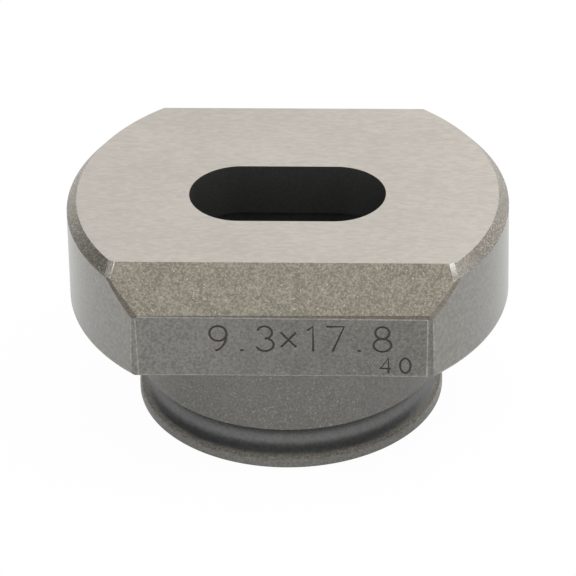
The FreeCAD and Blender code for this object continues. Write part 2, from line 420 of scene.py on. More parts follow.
class Surface(Enum):
    """The die's finishes, one for each way in which its surfaces are machined."""

    # Each finish's glint colour is a painted highlight, blended in as pale specks.
    TURNED_FOOT = Finish(
        "turned_foot",
        dark=screen_colour(116, 115, 111),
        light=screen_colour(136, 135, 131),
        metallic=0.9,
        roughness=0.36,
    )
    TURNED_SPIGOT = BlastedFinish(
        "turned_spigot",
        dark=screen_colour(107, 106, 102),
        light=screen_colour(120, 119, 114),
        metallic=0.9,
        roughness=0.36,
        grain=0.22 * MM,
        painted_glint=screen_colour(134, 132, 126),
        glint_level=0.6,
    )
    SOILED_GROOVE = SoiledFinish(
        "soiled_groove",
        dark=screen_colour(112, 113, 112),
        light=screen_colour(124, 125, 123),
        metallic=0.9,
        roughness=0.42,
        grain=0.3 * MM,
        soil_dark=screen_colour(92, 87, 78),
        soil_light=screen_colour(142, 136, 124),
    )
    TURNED_HEAD = Finish(
        "turned_head",
        dark=screen_colour(132, 131, 126),
        light=screen_colour(145, 144, 139),
        metallic=0.9,
        roughness=0.25,
        grain=0.35 * MM,
    )
    # Painted light: the rim is painted paler about its right front corner, where the light falls.
    BLASTED_RIM = PaintedLightFinish(
        "blasted_rim",
        dark=screen_colour(134, 129, 121),
        light=screen_colour(162, 157, 148),
        metallic=0.82,
        roughness=0.42,
        grain=0.19 * MM,
        painted_glint=screen_colour(188, 180, 167),
        glint_level=0.575,
        painted_light=screen_colour(184, 178, 169),
        place=(15.4 * MM, -12.0 * MM, 20.0 * MM),
        near=0.8 * MM,
        far=4.8 * MM,
        most=0.6,
    )
    GROUND_TOP = GroundFinish(
        "ground_top",
        dark=screen_colour(177, 171, 163),
        light=screen_colour(191, 185, 176),
        metallic=0.65,
        roughness=0.3,
        relief=0.00005 * MM,
        contrast=0.18,
    )
    # Painted light: the flat is painted paler towards its left end.
    MILLED_FLAT = PaintedLightFinish(
        "milled_flat",
        dark=screen_colour(103, 102, 97),
        light=screen_colour(129, 128, 123),
        metallic=0.8,
        roughness=0.42,
        grain=0.26 * MM,
        contrast=0.2,
        painted_glint=screen_colour(138, 136, 131),
        glint_level=0.65,
        painted_light=screen_colour(142, 139, 134),
        place=(-12.0 * MM, -15.0 * MM, 14.0 * MM),
        near=1.0 * MM,
        far=18.0 * MM,
        most=0.3,
    )
    BLASTED_SLOPE = BlastedFinish(
        "blasted_slope",
        dark=screen_colour(131, 125, 112),
        light=screen_colour(171, 165, 150),
        metallic=0.35,
        roughness=0.5,
        grain=0.21 * MM,
        painted_glint=screen_colour(196, 188, 168),
    )
    HOLE_WALL = Finish(
        "hole_wall",
        dark=screen_colour(60, 59, 58),
        light=screen_colour(70, 69, 68),
        metallic=0.2,
        roughness=0.5,
    )
    BROKEN_EDGE = BlastedFinish(
        "broken_edge",
        dark=screen_colour(98, 91, 83),
        light=screen_colour(128, 120, 110),
        metallic=0.25,
        roughness=0.5,
        grain=0.14 * MM,
        painted_glint=screen_colour(154, 147, 136),
    )
    # Painted light: a paler copy of the broken edge for the slope's right end, where the light falls.
    PAINTED_LIT_BREAK = BlastedFinish(
        "painted_lit_break",
        dark=screen_colour(114, 108, 99),
        light=screen_colour(146, 139, 129),
        metallic=0.25,
        roughness=0.5,
        grain=0.14 * MM,
        painted_glint=screen_colour(168, 161, 150),
    )
    GROUND_FACET = Finish(
        "ground_facet",
        dark=screen_colour(138, 133, 126),
        light=screen_colour(178, 173, 165),
        metallic=0.3,
        roughness=0.4,
        grain=0.16 * MM,
    )
    # Painted highlight: a near-white border on the ground facets, palest near its top ends.
    PAINTED_HIGHLIGHT = PaintedLightFinish(
        "painted_highlight_edge",
        dark=screen_colour(156, 151, 144),
        light=screen_colour(196, 191, 184),
        metallic=0.3,
        roughness=0.35,
        grain=0.16 * MM,
        contrast=0.1,
        painted_glint=screen_colour(240, 236, 230),
        painted_light=screen_colour(246, 242, 235),
        place=(15.0 * MM, 11.5 * MM, 20.5 * MM),
        mirrored=True,
        near=0.2 * MM,
        far=1.2 * MM,
    )
    # Worn edges: real wear, also painted paler to stand in for edge highlights.
    WORN_EDGE_HIGHLIGHT = Finish(
        "worn_edge_highlight",
        dark=screen_colour(130, 128, 122),
        light=screen_colour(158, 156, 149),
        metallic=0.4,
        roughness=0.4,
        grain=0.35 * MM,
    )
    MARK = Finish(
        "burnt_mark",
        dark=screen_colour(68, 64, 60),
        light=screen_colour(82, 77, 72),
        metallic=0.5,
        roughness=0.6,
        grain=0.12 * MM,
    )

    def material(self) -> bpy.types.Material:
        """This finish's material, made the first time it is asked for."""
        return bpy.data.materials.get(self.value.name) or self.value.material()


def add_object(name: str, data: bpy.types.ID) -> bpy.types.Object:
    """Links a new object, at the origin and unturned, to the scene."""
    made = bpy.data.objects.new(name, data)
    bpy.context.scene.collection.objects.link(made)
    return made


def mesh_object(
    name: str,
    corners: list[Point3],
    faces: list[tuple[int, ...]],
    material: bpy.types.Material,
) -> bpy.types.Object:
    """An object of one mesh in one material.

    Args:
        name: the object's name, and its mesh's.
        corners: the mesh's corners.
        faces: the corners of each face, counter-clockwise from outside.
        material: what it wears, and what it leaves where it cuts.

    Returns:
        The object.
    """
    mesh = bpy.data.meshes.new(name)
    mesh.from_pydata(corners, [], faces)
    mesh.materials.append(material)
    return add_object(name, mesh)


def add_spline(curve: bpy.types.Curve, points: list[Point3], closed: bool) -> None:
    """Adds one spline of straight lines to a curve.

    Args:
        curve: the curve.
        points: the spline's points, in order.
        closed: True where the last point joins the first.
    """
    spline = curve.splines.new("POLY")
    spline.points.add(len(points) - 1)
    spline.use_cyclic_u = closed
    for place, point in zip(spline.points, points):
        place.co = (*point, 1.0)


def away_from_axis(point: Vector) -> Vector:
    """The level direction from the die's axis to a point."""
    return Vector((point.x, point.y, 0.0)).normalized()


@dataclass(frozen=True)
class PlaneCut:
    """A flat cut across the head, which takes off all that lies beyond its plane."""

    point: Vector
    facing: Vector
    surface: Surface


def cut_through(
    points: tuple[Vector, Vector, Vector], outward: Vector, surface: Surface
) -> PlaneCut:
    """A flat cut through three points.

    Args:
        points: the points.
        outward: a direction that points away from what stays.
        surface: the finish that it leaves.

    Returns:
        The cut.
    """
    facing = (points[1] - points[0]).cross(points[2] - points[0]).normalized()
    if facing.dot(outward) < 0:
        facing.negate()
    return PlaneCut(points[0], facing, surface)


def material_place(mesh: bpy.types.Mesh, surface: Surface) -> int:
    """The place of a finish in a mesh's list of materials, to which it is added where it lacks."""
    material = surface.material()
    if material.name not in mesh.materials:
        mesh.materials.append(material)
    return mesh.materials.find(material.name)


def cut_planes(mesh: bpy.types.Mesh, cuts: list[PlaneCut], lowest: float) -> None:
    """Makes flat cuts in a closed mesh, and closes each with one face in the cut's finish.

    Args:
        mesh: the mesh, which is convex where the planes cross it.
        cuts: the cuts, in order.
        lowest: the height down to which they reach.
    """
    shape = bmesh.new()
    shape.from_mesh(mesh)
    for plane in cuts:
        beyond = [
            corner
            for corner in shape.verts
            if corner.co.z > lowest and (corner.co - plane.point).dot(plane.facing) > -TINY
        ]
        faces = list(dict.fromkeys(face for corner in beyond for face in corner.link_faces))
        edges = list(dict.fromkeys(edge for face in faces for edge in face.edges))
        corners = list(dict.fromkeys(corner for edge in edges for corner in edge.verts))
        bmesh.ops.bisect_plane(
            shape,
            geom=[*corners, *edges, *faces],
            dist=TINY,
            plane_co=plane.point,
            plane_no=plane.facing,
            clear_outer=True,
        )
        rim = [edge for edge in shape.edges if edge.is_boundary]
        for face in bmesh.ops.holes_fill(shape, edges=rim)["faces"]:
            face.material_index = material_place(mesh, plane.surface)
    shape.to_mesh(mesh)
    shape.free()


def settle(target: bpy.types.Object, name: str) -> bpy.types.Mesh:
    """The mesh that an object's modifiers give, with the modifiers taken off.

    Args:
        target: the object, which gets the mesh.
        name: the mesh's new name.

    Returns:
        The mesh.
    """
    graph = bpy.context.evaluated_depsgraph_get()
    mesh = bpy.data.meshes.new_from_object(
        target.evaluated_get(graph), preserve_all_data_layers=True, depsgraph=graph
    )
    mesh.name = name
    target.modifiers.clear()
    if target.type == "MESH":
        target.data = mesh
    return mesh


def cut_out(target: bpy.types.Object, tools: list[bpy.types.Object], name: str) -> None:
    """Cuts the forms of tools out of an object, and removes the tools.

    Args:
        target: the object, on which each tool leaves its finish.
        tools: the tools, in the order of their cuts.
        name: the new name of the object's mesh.
    """
    for tool in tools:
        step = target.modifiers.new(tool.name, "BOOLEAN")
        step.operation = "DIFFERENCE"
        step.solver = "EXACT"
        step.material_mode = "TRANSFER"
        step.object = tool
    settle(target, name)
    for tool in tools:
        bpy.data.objects.remove(tool)


class ShapeTree:
    """A Geometry Nodes tree that makes one shape of another, with named inputs for its sizes."""

    def __init__(self, name: str, taken: str, inputs: dict[str, str], made: str) -> None:
        """Starts a tree.

        Args:
            name: its name.
            taken: the name of the shape that it takes.
            inputs: the kind of socket for each further input, by its name.
            made: the name of the shape that it makes.
        """
        self.tree = bpy.data.node_groups.new(name, "GeometryNodeTree")
        self.graph = Graph(self.tree)
        self.made = made
        ways = self.tree.interface
        ways.new_socket(taken, in_out="INPUT", socket_type="NodeSocketGeometry")
        self.identifiers = {
            title: ways.new_socket(title, in_out="INPUT", socket_type=kind).identifier
            for title, kind in inputs.items()
        }
        ways.new_socket(made, in_out="OUTPUT", socket_type="NodeSocketGeometry")
        self.given = self.graph.node("NodeGroupInput").outputs

    def circle(self, sides: str, radius: str) -> bpy.types.NodeSocket:
        """A circle whose sides and radius come from two of the inputs."""
        made = self.graph.node(
            "GeometryNodeCurvePrimitiveCircle",
            {"mode": "RADIUS"},
            {"Resolution": self.given[sides], "Radius": self.given[radius]},
        )
        return made.outputs["Curve"]

    def sweep(self, path: bpy.types.NodeSocket, section: bpy.types.NodeSocket) -> bpy.types.NodeSocket:
        """The mesh that a section leaves along a path, with its ends filled."""
        made = self.graph.node(
            "GeometryNodeCurveToMesh",
            inputs={"Curve": path, "Profile Curve": section, "Fill Caps": True},
        )
        return made.outputs["Mesh"]

    def end(self, shape: bpy.types.NodeSocket, finishes: list[tuple[Value | bool, str]]) -> None:
        """Ends the tree: makes the shape real, and gives it its finishes one over the other.

        Args:
            shape: the shape.
            finishes: where each finish goes, and the name of its input.
        """
        real = self.graph.node("GeometryNodeRealizeInstances", inputs={"Geometry": shape})
        shape = real.outputs["Geometry"]
        for selection, title in finishes:
            dressed = self.graph.node(
                "GeometryNodeSetMaterial",
                inputs={"Geometry": shape, "Selection": selection, "Material": self.given[title]},
            )
            shape = dressed.outputs["Geometry"]
        self.graph.node("NodeGroupOutput", inputs={self.made: shape})

    def apply(self, target: bpy.types.Object, settings: dict[str, object]) -> None:
        """Puts the tree on an object and sets its inputs, each by its identifier."""
        step = target.modifiers.new(self.tree.name, "NODES")
        step.node_group = self.tree
        for title, setting in settings.items():
            step[self.identifiers[title]] = setting


@dataclass(frozen=True)
class Band:
    """The finish that the turned blank wears from one height up to the next band's."""

    name: str
    lowest: float
    surface: Surface

    @property
    def start(self) -> str:
        """The name of the input for its lowest height."""
        return self.name + " from"

    @property
    def finish(self) -> str:
        """The name of the input for its finish."""
        return self.name + " finish"


class TurningTree(ShapeTree):
    """Geometry Nodes that turn a closed profile into a blank, one finish for each height band.

    The profile lies in its own XY plane, with X away from the axis and Y down along it. Its origin
    goes round the axis at the given distance.
    """

    def __init__(self, bands: list[Band]) -> None:
        """Builds the tree, whose inputs are the facets and each band's lowest height and finish."""
        inputs = {"Facets": "NodeSocketInt", "Profile distance": "NodeSocketFloat"}
        for band in bands:
            inputs |= {band.start: "NodeSocketFloat", band.finish: "NodeSocketMaterial"}
        super().__init__("turn_the_blank", "Profile", inputs, "Blank")
        turned = self.sweep(self.circle("Facets", "Profile distance"), self.given["Profile"])
        position = self.graph.node("GeometryNodeInputPosition").outputs["Position"]
        apart = self.graph.node("ShaderNodeSeparateXYZ", inputs={"Vector": position})
        height = Value(self.graph, apart.outputs["Z"])
        self.end(turned, [
            (height > Value(self.graph, self.given[band.start]), band.finish) for band in bands
        ])


@dataclass(frozen=True)
class CornerBreak:
    """One upright corner of the head, broken by hand.

    Its widths are those on the flat, at the head's top and foot, and on the round face, half-way.
    """

    side: int
    end: int
    flat_top: float
    flat_foot: float
    round_middle: float


@dataclass(frozen=True)
class SlopeEnd:
    """One curved end of the slope, broken by hand, and what is ground beside it.

    Its widths are those of the break at its foot and its head, of the ground facet towards the rim's
    chamfer and of the facet's border with a painted highlight, and of the break that runs on along the
    rim's foot.
    """

    side: int
    foot: float
    head: float
    facet: float
    border: float
    rim: float
    finish: Surface


CORNER_BREAKS = (
    CornerBreak(side=-1, end=-1, flat_top=0.1 * MM, flat_foot=0.34 * MM, round_middle=0.3 * MM),
    CornerBreak(side=1, end=-1, flat_top=0.26 * MM, flat_foot=0.44 * MM, round_middle=0.24 * MM),
    CornerBreak(side=-1, end=1, flat_top=0.55 * MM, flat_foot=0.6 * MM, round_middle=0.6 * MM),
    CornerBreak(side=1, end=1, flat_top=0.4 * MM, flat_foot=0.6 * MM, round_middle=0.5 * MM),
)
SLOPE_ENDS = (
    SlopeEnd(
        side=-1,
        foot=0.6 * MM,
        head=0.24 * MM,
        facet=0.6 * MM,
        border=0.1 * MM,
        rim=0.26 * MM,
        finish=Surface.BROKEN_EDGE,
    ),
    SlopeEnd(
        side=1,
        foot=0.5 * MM,
        head=0.36 * MM,
        facet=0.5 * MM,
        border=0.5 * MM,
        rim=0.0,
        finish=Surface.PAINTED_LIT_BREAK,
    ),
)


@dataclass(frozen=True)
class Line:
    """A straight stroke, or several joined ones, in a character's cell of height 1."""

    corners: tuple[Point2, ...]
    closed: bool = False

    def points(self) -> list[Point2]:
        """The stroke's points."""
        return list(self.corners)


@dataclass(frozen=True)
class Arc:
    """A stroke along part of an ellipse, in a character's cell of height 1."""

    centre: Point2
    radii: Point2
    start: float = 0.0
    end: float = WHOLE_TURN
    steps: int = 28

    @property
    def closed(self) -> bool:
        """True for a whole ellipse."""
        return abs(self.end - self.start) >= WHOLE_TURN

    def points(self) -> list[Point2]:
        """The stroke's points, from its start to its end."""
        count = self.steps if self.closed else self.steps + 1
        points = []
        for step in range(count):
            angle = math.radians(self.start + (self.end - self.start) * step / self.steps)
            points.append((
                self.centre[0] + self.radii[0] * math.cos(angle),
                self.centre[1] + self.radii[1] * math.sin(angle),
            ))
        return points


CHARACTERS: dict[str, tuple[Line | Arc, ...]] = {
    ".": (Line(((0.24, 0.03), (0.36, 0.03))),),
    "×": (Line(((0.04, 0.16), (0.56, 0.76))), Line(((0.04, 0.76), (0.56, 0.16)))),
    "0": (Arc((0.3, 0.5), (0.3, 0.5)),),
    "1": (Line(((0.14, 0.84), (0.34, 1.0), (0.34, 0.0))),),
    "3": (Arc((0.29, 0.75), (0.25, 0.25), 160, -90), Arc((0.29, 0.26), (0.3, 0.26), 90, -160)),
    "4": (Line(((0.46, 0.0), (0.46, 1.0), (0.0, 0.3), (0.6, 0.3))),),
    "7": (Line(((0.0, 1.0), (0.6, 1.0), (0.2, 0.0))),),
    "8": (Arc((0.3, 0.76), (0.24, 0.24)), Arc((0.3, 0.26), (0.3, 0.26))),
    "9": (Arc((0.3, 0.7), (0.29, 0.3)), Arc((0.13, 0.7), (0.46, 0.7), 0, -82)),
}


@dataclass(frozen=True)
class MarkLine:
    """One line of characters on the front flat, as seen from the front.

    Its centre is given across and up, and its advance is the step from one character to the next.
    """

    text: str
    centre: Point2
    height: float
    advance: float


class CutterTree(ShapeTree):
    """Geometry Nodes that run a round cutter along each stroke and join the runs into one."""

    def __init__(self) -> None:
        """Builds the tree, whose inputs are the cutter's radius, its sides and its finish."""
        inputs = {
            "Cutter radius": "NodeSocketFloat",
            "Cutter sides": "NodeSocketInt",
            "Finish": "NodeSocketMaterial",
        }
        super().__init__("run_the_cutter", "Strokes", inputs, "Cutter path")
        runs = self.sweep(self.given["Strokes"], self.circle("Cutter sides", "Cutter radius"))
        joined = self.graph.node(
            "GeometryNodeMeshBoolean",
            {"operation": "UNION", "solver": "EXACT"},
            {"Mesh 2": runs, "Self Intersection": True},
        )
        self.end(joined.outputs["Mesh"], [(True, "Finish")])


@dataclass(frozen=True)
class SizeMark:
    """Plain numbers on the front flat: the hole's width and length, and the head's diameter.

    The round cutter's middle is lifted off the flat. A cell's width is a share of its height.
    """

    plane: float
    cutter_radius: float = 0.115 * MM
    cutter_lift: float = 0.045 * MM
    cutter_sides: int = 10
    cell_width: float = 0.6
    lines: tuple[MarkLine, ...] = (
        MarkLine("9.3×17.8", centre=(1.58 * MM, 14.74 * MM), height=2.62 * MM, advance=2.08 * MM),
        MarkLine("40", centre=(10.0 * MM, 11.95 * MM), height=1.55 * MM, advance=1.75 * MM),
    )

    def add_line(self, curve: bpy.types.Curve, line: MarkLine) -> None:
        """Adds a spline to a curve for each stroke of one line of characters."""
        length = line.advance * (len(line.text) - 1)
        first = line.centre[0] - length / 2 - line.height * self.cell_width / 2
        for number, character in enumerate(line.text):
            for stroke in CHARACTERS[character]:
                places = []
                for across, up in stroke.points():
                    x = first + line.advance * number + across * line.height
                    z = line.centre[1] + (up - 0.5) * line.height
                    places.append((x, self.plane - self.cutter_lift, z))
                add_spline(curve, places, stroke.closed)

    def engrave(self, die: bpy.types.Object) -> None:
        """Cuts the numbers into the die."""
        curve = bpy.data.curves.new("mark_strokes", "CURVE")
        curve.dimensions = "3D"
        for line in self.lines:
            self.add_line(curve, line)
        strokes = add_object("mark_strokes", curve)
        settings = {
            "Cutter radius": self.cutter_radius,
            "Cutter sides": self.cutter_sides,
            "Finish": Surface.MARK.material(),
        }
        CutterTree().apply(strokes, settings)
        tool = add_object("mark_cutter", settle(strokes, "mark_cutter"))
        bpy.data.objects.remove(strokes)
        cut_out(die, [tool], "die_marked")


@dataclass
class PunchDie:
    """The die, machined in the order in which a shop would do it.

    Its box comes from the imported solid, and its main sizes are the solid's. The wear is only here,
    and so are the breaks that change along their edges.
    """

    low: Vector
    high: Vector
    head_thickness: float = 9.85 * MM
    spigot_radius: float = 13.95 * MM
    rim_width: float = 0.9 * MM
    rim_height: float = 1.0 * MM
    foot_thickness: float = 0.8 * MM
    groove_width: float = 3.35 * MM
    groove_depth: float = 1.2 * MM
    slope_run: float = 3.5 * MM
    slope_drop: float = 3.5 * MM
    hole_width: float = 9.3 * MM
    hole_centres: float = 8.5 * MM
    land_depth: float = 5.0 * MM
    relief_margin: float = 0.5 * MM
    turned_break: float = 0.15 * MM
    flat_break: float = 0.15 * MM
    foot_break_left: float = 0.08 * MM
    foot_break_right: float = 0.2 * MM
    foot_break_slope: float = 0.15 * MM
    rim_break_turn: float = math.radians(17)
    worn_width: float = 0.13 * MM
    turned_wear: float = 0.07 * MM
    bore: float = 1.0 * MM
    overrun: float = 1.0 * MM
    facets: int = 720
    hole_steps: int = 96
    groove_steps: int = 40
    curve_steps: int = 9
    round_steps: int = 3
    sharp_angle: float = math.radians(8)

    @property
    def top(self) -> float:
        """The height of the ground top face."""
        return self.high.z

    @property
    def head_radius(self) -> float:
        """The turned head's radius."""
        return self.high.x

    @property
    def shoulder(self) -> float:
        """The height of the shoulder under the head."""
        return self.top - self.head_thickness

    @property
    def front(self) -> float:
        """The front flat's place along Y."""
        return self.low.y

    @property
    def groove_top(self) -> float:
        """The height of the retaining groove's upper edge."""
        return self.foot_thickness + self.groove_width

    def groove_arc(self) -> list[Point2]:
        """The retaining groove's section from its foot up, an arc across its worn mouth."""
        half = self.groove_width / 2
        radius = (half**2 + self.groove_depth**2) / (2 * self.groove_depth)
        centre = self.spigot_radius - self.groove_depth + radius
        middle = self.foot_thickness + half
        opening = math.asin(half / radius) - self.turned_wear / radius
        points = []
        for step in range(self.groove_steps + 1):
            angle = opening * (2 * step / self.groove_steps - 1)
            points.append((centre - radius * math.cos(angle), middle + radius * math.sin(angle)))
        return points

    def turned_edge(self, radius: float, level: float) -> list[Point2]:
        """The rounded lower edge of a cylinder, from below.

        Args:
            radius: the cylinder's radius.
            level: the height of its lower end.

        Returns:
            The points of its section.
        """
        edge = self.turned_break
        points = []
        for step in range(self.round_steps + 1):
            angle = math.pi / 2 * (step / self.round_steps - 1)
            across = radius - edge + edge * math.cos(angle)
            points.append((across, level + edge + edge * math.sin(angle)))
        return points

    def profile(self) -> list[Point2]:
        """The blank's section, as distances from the axis and heights, with a small bore."""
        spigot = self.spigot_radius
        head = self.head_radius
        wear = self.turned_wear
        return [
            (self.bore, 0.0),
            *self.turned_edge(spigot, 0.0),
            (spigot, self.foot_thickness - wear),
            *self.groove_arc(),
            (spigot, self.groove_top + wear),
            (spigot, self.shoulder),
            *self.turned_edge(head, self.shoulder),
            (head, self.shoulder + self.turned_break + wear),
            (head, self.top - self.rim_height),
            (head - self.rim_width, self.top),
            (self.bore, self.top),
        ]

    def turn_blank(self) -> bpy.types.Object:
        """Turns the profile into the blank, with a finish for each band of heights."""
        curve = bpy.data.curves.new("die_profile", "CURVE")
        section = [(away - self.spigot_radius, -height, 0.0) for away, height in self.profile()]
        add_spline(curve, section, closed=True)
        blank = add_object("die_profile", curve)
        bands = [
            Band("Foot", -self.overrun, Surface.TURNED_FOOT),
            Band("Foot edge", self.foot_thickness - self.turned_wear + TINY, Surface.WORN_EDGE_HIGHLIGHT),
            Band("Groove", self.foot_thickness + self.turned_wear, Surface.SOILED_GROOVE),
            Band("Spigot", self.groove_top - TINY, Surface.TURNED_SPIGOT),
            Band("Head edge", self.shoulder + TINY, Surface.WORN_EDGE_HIGHLIGHT),
            Band("Head", self.shoulder + self.turned_break + self.turned_wear, Surface.TURNED_HEAD),
            Band("Rim", self.top - self.rim_height + TINY, Surface.BLASTED_RIM),
            Band("Top", self.top - TINY, Surface.GROUND_TOP),
        ]
        settings = {"Facets": self.facets, "Profile distance": self.spigot_radius}
        for band in bands:
            settings |= {band.start: band.lowest, band.finish: band.surface.material()}
        TurningTree(bands).apply(blank, settings)
        mesh = settle(blank, "die_blank")
        bpy.data.objects.remove(blank)
        return add_object("die_blank", mesh)

    def slope_normal(self) -> Vector:
        """The direction that the slope faces."""
        return Vector((0.0, -self.slope_drop, self.slope_run)).normalized()

    def slope_foot(self) -> Vector:
        """The middle of the slope's foot, on the front flat."""
        return Vector((0.0, self.front, self.top - self.slope_drop))

    def corner_cuts(self, broken: CornerBreak) -> list[PlaneCut]:
        """The cut that breaks one upright corner of the head, and its two worn borders."""
        away = abs(self.front)
        across = math.sqrt(self.head_radius**2 - away**2)
        middle = (self.top + self.shoulder) / 2
        turned = math.atan2(away, across) - broken.round_middle / self.head_radius
        round_way = Vector((broken.side * math.cos(turned), broken.end * math.sin(turned), 0.0))
        flat_way = Vector((0.0, broken.end, 0.0))
        points = (
            Vector((broken.side * (across - broken.flat_top), broken.end * away, self.top)),
            Vector((broken.side * (across - broken.flat_foot), broken.end * away, self.shoulder)),
            round_way * self.head_radius + UP * middle,
        )
        strip = cut_through(points, round_way, Surface.MILLED_FLAT)
        return [
            strip,
            self.worn(points[0], (flat_way, strip.facing)),
            self.worn(points[2], (strip.facing, round_way)),
        ]

    def slope_point(self, side: int, radius: float, level: float) -> Vector:
        """Where the slope meets a circle about the axis.

        Args:
            side: -1 for the left and 1 for the right.
            radius: the circle's radius.
            level: the circle's height.

        Returns:
            The point.
        """
        back = self.front + (level - self.slope_foot().z) * self.slope_run / self.slope_drop
        return Vector((side * math.sqrt(radius**2 - back**2), back, level))

    @staticmethod
    def edge_cut(
        point: Vector, ways: tuple[Vector, Vector], width: float, surface: Surface
    ) -> PlaneCut:
        """A cut that breaks the edge between two faces of the head.

        Args:
            point: a point of the edge.
            ways: the directions that the two faces have there.
            width: how wide the break is.
            surface: the finish that it leaves.

        Returns:
            The cut.
        """
        facing = (ways[0] + ways[1]).normalized()
        depth = width / 2 * math.tan(ways[0].angle(ways[1]) / 2)
        return PlaneCut(point - facing * depth, facing, surface)

    def worn(self, point: Vector, ways: tuple[Vector, Vector]) -> PlaneCut:
        """A narrow cut that wears the edge between two faces of the head."""
        # Its finish is real wear, also painted paler as an edge highlight.
        return self.edge_cut(point, ways, self.worn_width, Surface.WORN_EDGE_HIGHLIGHT)

    def slope_foot_cuts(self) -> list[PlaneCut]:
        """The cut that breaks the slope's foot, and the one that wears its lower border."""
        front_way = Vector((0.0, -1.0, 0.0))
        slope_up = Vector((0.0, self.slope_run, self.slope_drop)).normalized()
        points = tuple(
            self.slope_foot() + Vector((side * self.head_radius / 2, 0.0, -down))
            for side, down in ((-1, self.foot_break_left), (1, self.foot_break_right))
        )
        head = self.slope_foot() + slope_up * self.foot_break_slope
        foot = cut_through((*points, head), front_way + self.slope_normal(), Surface.BROKEN_EDGE)
        along = (points[1] - points[0]).normalized()
        worn = self.worn(points[0], (front_way, foot.facing))
        level = along.cross(worn.facing).cross(along)
        return [foot, PlaneCut(worn.point, level.normalized(), worn.surface)]

    def flat_edge_cut(self, corner: Vector, broken: PlaneCut) -> PlaneCut:
        """The cut that wears a flat's border with a broken edge.

        Args:
            corner: a point of the edge before it was broken.
            broken: the cut that broke it.

        Returns:
            The cut.
        """
        flat_way = Vector((0.0, math.copysign(1.0, corner.y), 0.0))
        depth = (corner - broken.point).dot(broken.facing)
        down = math.copysign(depth / math.sqrt(1 - broken.facing.dot(flat_way) ** 2), broken.facing.z)
        return self.worn(corner - UP * down, (flat_way, broken.facing))

    def flat_end_cuts(self) -> list[PlaneCut]:
        """The cuts that break both flats' lower edges and the back flat's upper one."""
        away = abs(self.front)
        places = ((-1, self.shoulder, -UP), (1, self.shoulder, -UP), (1, self.top, UP))
        cuts = []
        for end, height, way in places:
            flat_way = Vector((0.0, end, 0.0))
            corner = flat_way * away + UP * height
            width = self.flat_break * math.sqrt(2)
            broken = self.edge_cut(corner, (flat_way, way), width, Surface.MILLED_FLAT)
            cuts += [broken, self.flat_edge_cut(corner, broken)]
        return cuts

    def slope_end_cuts(self, end: SlopeEnd) -> list[PlaneCut]:
        """The cuts that break one curved end of the slope."""
        rim_foot = self.top - self.rim_height
        cuts = []
        for number in range(self.curve_steps):
            share = number / (self.curve_steps - 1)
            level = self.slope_foot().z + (rim_foot - self.slope_foot().z) * share
            point = self.slope_point(end.side, self.head_radius, level)
            width = end.foot + (end.head - end.foot) * share
            ways = (self.slope_normal(), away_from_axis(point))
            cuts.append(self.edge_cut(point, ways, width, end.finish))
        return cuts

    def rim_end_cuts(self, end: SlopeEnd) -> list[PlaneCut]:
        """The cuts that break the rim's foot beside the slope and grind the rim's end."""
        first = self.slope_point(end.side, self.head_radius, self.top - self.rim_height)
        cuts = []
        for number in range(1, self.curve_steps if end.rim else 0):
            share = number / self.curve_steps
            point = Matrix.Rotation(end.side * self.rim_break_turn * share, 3, "Z") @ first
            ways = (self.rim_way(point), away_from_axis(point))
            cuts.append(self.edge_cut(point, ways, end.rim * (1 - share), Surface.BROKEN_EDGE))
        level = self.top - self.rim_height / 2
        middle = self.slope_point(end.side, self.head_radius - self.rim_width / 2, level)
        ways = (self.rim_way(middle), self.slope_normal())
        facet = self.edge_cut(middle, ways, end.facet, Surface.GROUND_FACET)
        shift = end.facet / 2 / math.cos(ways[0].angle(ways[1]) / 2)
        inward = facet.facing.cross(ways[1]).cross(ways[1]).normalized()
        border = middle - inward * math.copysign(shift, inward.dot(facet.facing))
        # The facet's border wears a painted highlight.
        bright = self.edge_cut(border, (facet.facing, ways[1]), end.border, Surface.PAINTED_HIGHLIGHT)
        return [*cuts, facet, bright]

    def rim_way(self, point: Vector) -> Vector:
        """The direction that the rim's chamfer faces at a point."""
        return (away_from_axis(point) * self.rim_height + UP * self.rim_width).normalized()

    def oblong_tool(
        self, name: str, width: float, low: float, high: float, surface: Surface
    ) -> bpy.types.Object:
        """An upright oblong prism about the axis, long along X.

        Args:
            name: its name.
            width: its width across its straight sides.
            low: its lowest height.
            high: its highest height.
            surface: the finish that it leaves.

        Returns:
            The prism.
        """
        outline = []
        for side in (1, -1):
            for step in range(self.hole_steps + 1):
                angle = math.pi * (step / self.hole_steps - 0.5)
                along = self.hole_centres / 2 + width / 2 * math.cos(angle)
                outline.append((side * along, side * width / 2 * math.sin(angle)))
        count = len(outline)
        corners = [(x, y, height) for height in (low, high) for x, y in outline]
        faces = [tuple(range(count - 1, -1, -1)), tuple(range(count, 2 * count))]
        for here in range(count):
            there = (here + 1) % count
            faces.append((here, there, there + count, here + count))
        return mesh_object(name, corners, faces, surface.material())

    def bore_hole(self, blank: bpy.types.Object) -> None:
        """Cuts the oblong hole and its wider relief from below."""
        relief_width = self.hole_width + 2 * self.relief_margin
        relief_top = self.top - self.land_depth
        below = -self.overrun
        above = self.top + self.overrun
        tools = [
            self.oblong_tool("hole", self.hole_width, below, above, Surface.HOLE_WALL),
            self.oblong_tool("relief", relief_width, below, relief_top, Surface.HOLE_WALL),
        ]
        cut_out(blank, tools, "die_bored")

